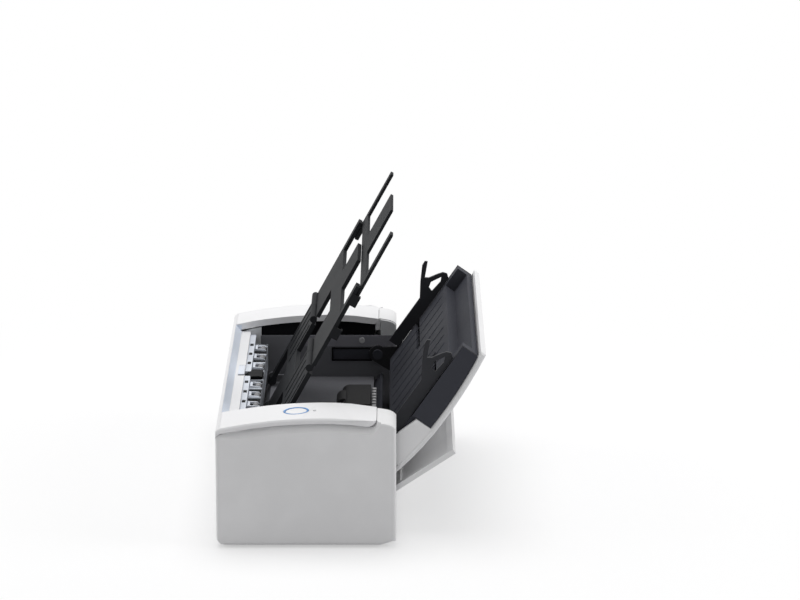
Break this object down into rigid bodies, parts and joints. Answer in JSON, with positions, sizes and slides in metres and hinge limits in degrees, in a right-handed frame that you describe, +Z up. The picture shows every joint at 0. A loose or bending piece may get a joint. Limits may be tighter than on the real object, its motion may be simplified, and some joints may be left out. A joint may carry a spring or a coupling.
{
  "type": "document scanner",
  "caption": "Desktop sheet-fed document scanner with its feed cover open, side guides, raised folding output guide, end sections and a round scan button.",
  "frame": {"origin": "centre of the open object's bounding box, on the table plane", "axes": "+X along the machine towards the button end, +Y towards the rear, +Z up"},
  "size_m": [0.296, 0.1712, 0.1919],
  "materials": {
    "black": "semi-gloss plastic",
    "board_green": "lacquered board",
    "brass": "machined",
    "case_grey": "moulded plastic",
    "case_white": "satin moulded plastic",
    "dark": "plain plastic",
    "frame_white": "moulded plastic",
    "gear_white": "natural moulded plastic",
    "glass": "clear polished",
    "inner_dark": "fine-textured plastic",
    "inner_grey": "fine-textured plastic",
    "ring_blue": "lit translucent plastic",
    "roller_grey": "matt rubber",
    "rubber": "matt rubber",
    "steel": "plain ground steel",
    "zinc": "zinc-plated sheet"
  },
  "bodies": {
    "case": {"base_pan": "case_grey", "brake_bracket": "zinc", "data_socket": "steel", "drive_motor": "zinc", "flap_rod": "steel", "front_left_foot": "rubber", "front_right_foot": "rubber", "front_section_rod": "steel", "inner_paper_guide": "inner_grey", "left_cover_pin": "steel", "left_end_cap": "case_white", "left_inner_panel": "case_grey", "left_side_frame": "zinc", "lower_image_sensor": "dark", "lower_scan_glass": "glass", "main_board": "board_green", "outer_paper_guide": "inner_grey", "pick_cover": "inner_dark", "power_inlet": "dark", "rear_left_foot": "rubber", "rear_right_foot": "rubber", "rear_wall": "case_grey", "right_cover_pin": "steel", "right_end_cap": "case_white", "right_inner_panel": "case_grey", "right_side_frame": "zinc", "upper_image_sensor": "dark", "upper_scan_glass": "glass"},
    "feed_cover": {"cover_shell": "case_white", "cover_tray": "inner_dark"},
    "right_side_guide_body": {"right_side_guide": "black"},
    "left_side_guide_body": {"left_side_guide": "black"},
    "guide_pinion_body": {"guide_pinion": "gear_white"},
    "rear_flap_body": {"rear_flap": "case_grey"},
    "output_guide_body": {"output_guide_base": "black"},
    "output_leaf_body": {"output_guide_leaf": "black"},
    "output_tongue_body": {"output_guide_tongue": "black"},
    "front_section": {"button_board": "board_green", "button_ring": "ring_blue", "exit_frame": "frame_white", "front_panel": "case_white", "front_top_cover": "case_white"},
    "exit_idler_body": {"exit_idler": "roller_grey"},
    "scan_button_body": {"scan_button": "case_white"},
    "finger_body": {"hold_down_finger": "black"},
    "feed_drive": {"feed_gear": "gear_white", "feed_roller": "rubber", "feed_shaft": "steel"},
    "transfer_drive": {"transfer_gear": "gear_white", "transfer_shaft": "steel"},
    "pick_drive": {"pick_gear": "gear_white", "pick_roller": "roller_grey", "pick_shaft": "steel"},
    "idler_drive": {"idler_gear": "gear_white"},
    "exit_drive": {"exit_gear": "gear_white", "exit_roller": "rubber", "exit_shaft": "steel"},
    "motor_drive": {"motor_pinion": "brass"},
    "brake_body": {"brake_roller": "rubber"}
  },
  "joints": [
    {"name": "cover_hinge", "type": "hinge", "parent": "case", "child": "feed_cover", "pos_m": [0, 0.01539, 0.059], "axis": [1, 0, 0], "range_deg": [0, 126.5]},
    {"name": "rear_flap_hinge", "type": "hinge", "parent": "case", "child": "rear_flap_body", "pos_m": [0, 0.02639, 0.027], "axis": [1, 0, 0], "range_deg": [0, 55.6]},
    {"name": "output_guide_hinge", "type": "hinge", "parent": "case", "child": "output_guide_body", "pos_m": [0, -0.05761, 0.0455], "axis": [1, 0, 0], "range_deg": [-61.3, 0]},
    {"name": "output_leaf_hinge", "type": "hinge", "parent": "output_guide_body", "child": "output_leaf_body", "pos_m": [0, -0.02735, 0.10418], "axis": [1, 0, 0], "range_deg": [0, 180.1]},
    {"name": "output_tongue_slide", "type": "slide", "parent": "output_leaf_body", "child": "output_tongue_body", "axis": [0, 0.4818, 0.8763], "range_m": [-0.0401, 0]},
    {"name": "side_guide_slide", "type": "slide", "parent": "feed_cover", "child": "right_side_guide_body", "axis": [-1, 0, 0], "range_m": [0, 0.07]},
    {"name": "left_side_guide_slide", "type": "slide", "parent": "feed_cover", "child": "left_side_guide_body", "axis": [1, 0, 0], "range_m": [0, 0.0701]},
    {"name": "guide_pinion_spin", "type": "hinge", "parent": "feed_cover", "child": "guide_pinion_body", "pos_m": [0, 0.051, 0.08775], "axis": [0, -0.8181, 0.575], "continuous": true},
    {"name": "feed_roller_spin", "type": "hinge", "parent": "case", "child": "feed_drive", "pos_m": [0, -0.02161, 0.0225], "axis": [1, 0, 0], "continuous": true},
    {"name": "transfer_spin", "type": "hinge", "parent": "case", "child": "transfer_drive", "pos_m": [0, -0.00225, 0.03063], "axis": [1, 0, 0], "continuous": true},
    {"name": "pick_roller_spin", "type": "hinge", "parent": "case", "child": "pick_drive", "pos_m": [0, 0.00405, 0.04313], "axis": [1, 0, 0], "continuous": true},
    {"name": "idler_gear_spin", "type": "hinge", "parent": "case", "child": "idler_drive", "pos_m": [0, -0.03838, 0.0334], "axis": [1, 0, 0], "continuous": true},
    {"name": "exit_roller_spin", "type": "hinge", "parent": "case", "child": "exit_drive", "pos_m": [0, -0.05774, 0.02836], "axis": [1, 0, 0], "continuous": true},
    {"name": "motor_pinion_spin", "type": "hinge", "parent": "case", "child": "motor_drive", "pos_m": [0, -0.02368, 0.03937], "axis": [1, 0, 0], "continuous": true},
    {"name": "brake_roller_spin", "type": "hinge", "parent": "case", "child": "brake_body", "pos_m": [0, 0.0169, 0.03411], "axis": [1, 0, 0], "continuous": true},
    {"name": "front_section_hinge", "type": "hinge", "parent": "case", "child": "front_section", "pos_m": [0, -0.08101, 0.008], "axis": [1, 0, 0], "range_deg": [0, 22]},
    {"name": "exit_idler_spin", "type": "hinge", "parent": "front_section", "child": "exit_idler_body", "pos_m": [0, -0.06939, 0.03476], "axis": [1, 0, 0], "continuous": true},
    {"name": "scan_button_press", "type": "slide", "parent": "front_section", "child": "scan_button_body", "axis": [0, 0.0544, -0.9985], "range_m": [0, 0.0006], "stiffness_N_per_m": 500, "springref_m": -0.0006},
    {"name": "hold_down_finger_hinge", "type": "hinge", "parent": "front_section", "child": "finger_body", "pos_m": [0, -0.07511, 0.0685], "axis": [1, 0, 0], "range_deg": [-10, 12], "stiffness_Nm_per_rad": 0.02}
  ],
  "couplings": [
    {"joint": "rear_flap_hinge", "follows": "cover_hinge", "ratio": 0.43874},
    {"joint": "output_guide_hinge", "follows": "cover_hinge", "ratio": -0.48379},
    {"joint": "output_leaf_hinge", "follows": "cover_hinge", "ratio": 1.4229},
    {"joint": "output_tongue_slide", "follows": "cover_hinge", "m_per_rad": -0.018117},
    {"joint": "left_side_guide_slide", "follows": "side_guide_slide", "ratio": 1},
    {"joint": "guide_pinion_spin", "follows": "side_guide_slide", "rad_per_m": 166.67},
    {"joint": "transfer_spin", "follows": "feed_roller_spin", "ratio": -1.3333},
    {"joint": "pick_roller_spin", "follows": "feed_roller_spin", "ratio": 1.3333},
    {"joint": "idler_gear_spin", "follows": "feed_roller_spin", "ratio": -1.5},
    {"joint": "exit_roller_spin", "follows": "feed_roller_spin", "ratio": 1},
    {"joint": "motor_pinion_spin", "follows": "feed_roller_spin", "ratio": -2.4},
    {"joint": "brake_roller_spin", "follows": "feed_roller_spin", "ratio": -1.875},
    {"joint": "exit_idler_spin", "follows": "feed_roller_spin", "ratio": -1.6}
  ]
}
